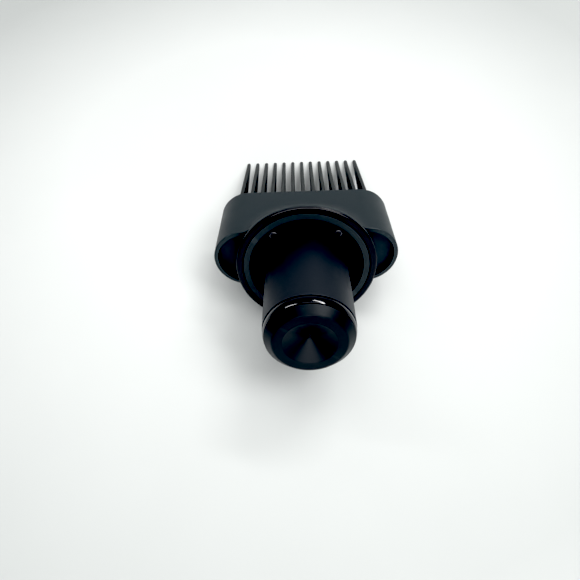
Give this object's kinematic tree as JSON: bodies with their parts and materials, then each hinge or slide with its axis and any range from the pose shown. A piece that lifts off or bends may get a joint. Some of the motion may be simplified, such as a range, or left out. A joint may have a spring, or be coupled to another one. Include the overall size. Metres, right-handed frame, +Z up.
{
  "type": "hair dryer wide-tooth comb attachment",
  "caption": "Wide-tooth comb nozzle with a round magnetic collar, a centre plug that enters the dryer's through-hole, a flat hooded body and long tapered teeth.",
  "frame": {"origin": "middle of the footprint, on the surface that the attachment lies on", "axes": "+X to the right seen from the plug end, +Y level and forward from the plug to the tooth tips, +Z up; the plug's own axis leans forward and down by 16.07 degrees, because the attachment rests on the foot of its collar and on its tooth tips"},
  "size_m": [0.089, 0.1586, 0.0638],
  "materials": {
    "satin_shell": "satin, fine moulded grain",
    "satin_comb": "satin, fine moulded grain",
    "satin_plug": "satin",
    "satin_nose": "satin with light handling scratches",
    "dark_cover": "satin",
    "slate_face": "matte",
    "gloss_trim": "polished",
    "inner_plastic": "matte, heat resistant",
    "steel_screw": "blackened",
    "nickel_magnet": "nickel plated"
  },
  "bodies": {
    "root": {"outer_shell": "satin_shell", "left_end_cover": "dark_cover", "right_end_cover": "dark_cover", "collar_ring": "gloss_trim", "magnet_carrier": "slate_face", "magnet_1": "nickel_magnet", "magnet_2": "nickel_magnet", "magnet_3": "nickel_magnet", "magnet_4": "nickel_magnet", "magnet_5": "nickel_magnet", "magnet_6": "nickel_magnet", "magnet_7": "nickel_magnet", "magnet_8": "nickel_magnet", "magnet_retainer": "inner_plastic", "inner_duct": "inner_plastic", "left_duct_screw": "steel_screw", "right_duct_screw": "steel_screw", "collar_screw_1": "steel_screw", "collar_screw_2": "steel_screw", "collar_screw_3": "steel_screw", "collar_screw_4": "steel_screw", "comb_plate": "satin_comb", "core_spider": "inner_plastic", "flow_diverter": "inner_plastic", "plug_tube": "satin_plug", "plug_trim_ring": "gloss_trim", "nose_cap": "satin_nose", "tie_screw": "steel_screw"}
  },
  "joints": []
}
